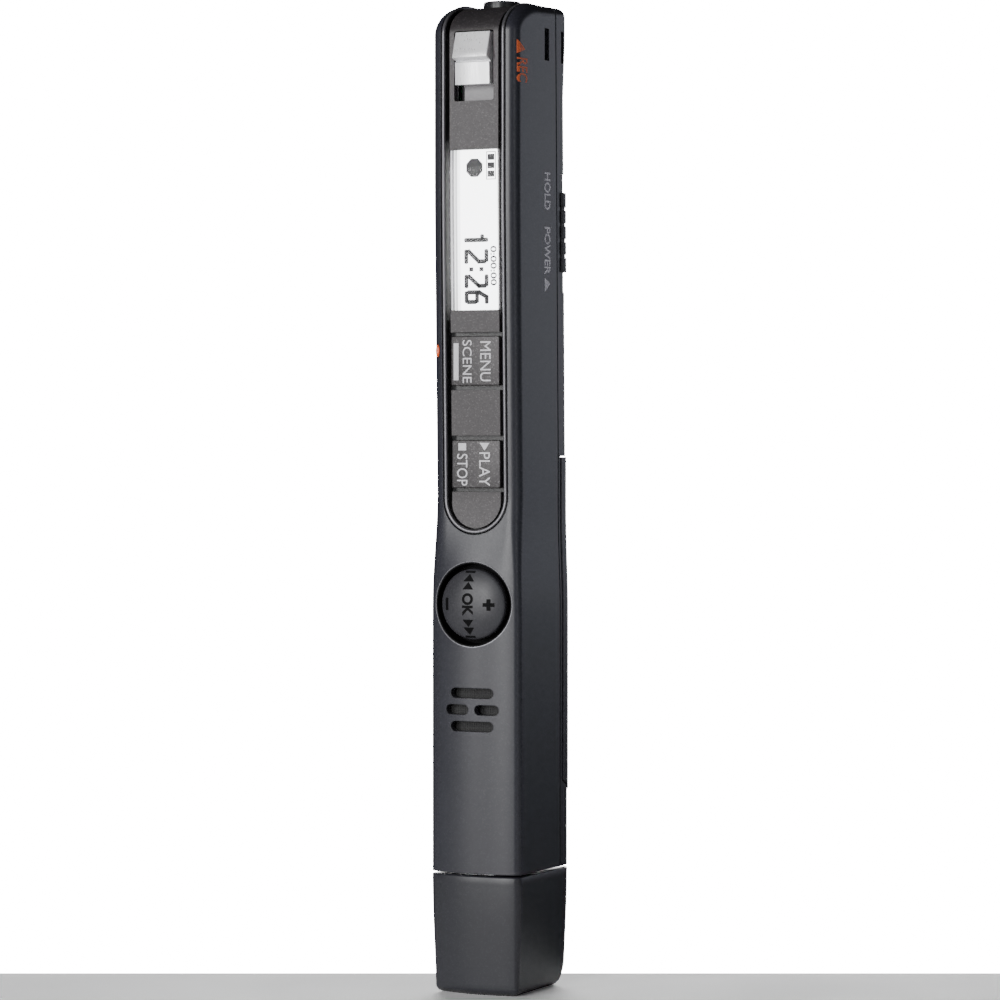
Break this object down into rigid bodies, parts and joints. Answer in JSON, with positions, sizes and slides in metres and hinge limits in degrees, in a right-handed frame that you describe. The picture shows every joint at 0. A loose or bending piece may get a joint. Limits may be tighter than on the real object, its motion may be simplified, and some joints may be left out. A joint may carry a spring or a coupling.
{
  "type": "handheld voice recorder",
  "caption": "Slim pen-type voice recorder with a display, record slider, keys, round direction key, hold switch, battery bay and a plug under its end cap.",
  "frame": {"origin": "middle of the box on the end cap's flat end, on which the recorder stands", "axes": "+Z along the pen towards the earphone jack, -Y out of the display side, +X out of the side with the hold switch"},
  "size_m": [0.0136, 0.0176, 0.1315],
  "materials": {
    "housing_navy": "satin, fine texture",
    "rear_navy": "satin, fine texture",
    "cover_navy": "satin, fine texture",
    "cap_black": "satin metallic paint",
    "rim_grey": "satin",
    "plate_grey": "satin metallic",
    "display_glass": "clear",
    "lcd_grey": "reflective display",
    "holder_white": "moulded",
    "key_grey": "fine sparkle",
    "switch_steel": "stamped",
    "floor_grey": "satin",
    "slider_silver": "satin plated",
    "switch_black": "moulded",
    "dial_black": "satin",
    "rocker_steel": "stamped",
    "mesh_black": "woven",
    "gasket_black": "foam",
    "speaker_grey": "stamped",
    "microphone_metal": "can",
    "bezel_black": "satin",
    "led_orange": "clear orange",
    "led_chip_white": "moulded",
    "board_green": "solder mask",
    "screw_steel": "plated",
    "chip_black": "moulded",
    "can_tin": "tinned",
    "capacitor_blue": "sleeve",
    "cell_jacket": "printed jacket",
    "contact_nickel": "nickel",
    "plug_steel": "nickel",
    "tongue_black": "moulded",
    "contact_gold": "gold plated",
    "hold_black": "ribbed",
    "flex_amber": "polyimide"
  },
  "bodies": {
    "recorder": {"main_housing": "housing_navy", "rear_shell": "rear_navy", "front_frame": "rim_grey", "window_plate": "plate_grey", "blank_plate": "plate_grey", "end_plate": "plate_grey", "lcd_window": "display_glass", "lcd_module": "lcd_grey", "lcd_holder": "holder_white", "menu_switch": "switch_steel", "play_switch": "switch_steel", "slider_floor": "floor_grey", "record_switch": "switch_black", "nav_switch": "switch_black", "speaker_mesh": "mesh_black", "speaker_gasket": "gasket_black", "speaker_unit": "speaker_grey", "mic_left": "microphone_metal", "mic_right": "microphone_metal", "jack_bezel": "bezel_black", "earphone_jack": "switch_black", "led_lens": "led_orange", "led_chip": "led_chip_white", "main_board": "board_green", "board_screw_1": "screw_steel", "board_screw_2": "screw_steel", "processor_chip": "chip_black", "memory_chip": "chip_black", "shield_can": "can_tin", "clock_crystal": "can_tin", "capacitor": "capacitor_blue", "battery_cell": "cell_jacket", "battery_spring": "contact_nickel", "battery_contact": "contact_nickel", "usb_shell": "plug_steel", "usb_tongue": "tongue_black", "usb_contact_1": "contact_gold", "usb_contact_2": "contact_gold", "usb_contact_3": "contact_gold", "usb_contact_4": "contact_gold", "hold_switch": "switch_steel", "switch_flex": "flex_amber"},
    "record_knob": {"record_slider": "slider_silver"},
    "menu_key": {"menu_button": "key_grey"},
    "play_key": {"play_button": "key_grey"},
    "nav_post": {"nav_plunger": "switch_black"},
    "nav_link": {"nav_rocker": "rocker_steel"},
    "nav_disc": {"nav_key": "dial_black"},
    "hold_slider": {"hold_knob": "hold_black"},
    "cell_cover": {"battery_cover": "cover_navy"},
    "cap": {"usb_cap": "cap_black"}
  },
  "joints": [
    {"name": "record_slide", "type": "slide", "parent": "recorder", "child": "record_knob", "axis": [0, 0, 1], "range_m": [-0.002, 0]},
    {"name": "menu_press", "type": "slide", "parent": "recorder", "child": "menu_key", "axis": [0, 1, 0], "range_m": [0, 0.0003], "stiffness_N_per_m": 600},
    {"name": "play_press", "type": "slide", "parent": "recorder", "child": "play_key", "axis": [0, 1, 0], "range_m": [0, 0.0003], "stiffness_N_per_m": 600},
    {"name": "nav_press", "type": "slide", "parent": "recorder", "child": "nav_post", "axis": [0, 1, 0], "range_m": [0, 0.00025], "stiffness_N_per_m": 600},
    {"name": "nav_tilt_up_down", "type": "hinge", "parent": "nav_post", "child": "nav_link", "pos_m": [0, -0.006, 0.0516], "axis": [1, 0, 0], "range_deg": [-2.5, 2.5], "stiffness_Nm_per_rad": 0.02},
    {"name": "nav_tilt_side", "type": "hinge", "parent": "nav_link", "child": "nav_disc", "pos_m": [0, -0.0064, 0.0516], "axis": [0, 0, 1], "range_deg": [-2.5, 2.5], "stiffness_Nm_per_rad": 0.02},
    {"name": "hold_slide", "type": "slide", "parent": "recorder", "child": "hold_slider", "axis": [0, 0, 1], "range_m": [-0.0027, 0.0024]},
    {"name": "battery_cover_slide", "type": "slide", "parent": "recorder", "child": "cell_cover", "axis": [0, 0.866, -0.5], "range_m": [0, 0.012]},
    {"name": "cap_pull", "type": "slide", "parent": "recorder", "child": "cap", "axis": [0, 0, -1], "range_m": [0, 0.02]}
  ]
}
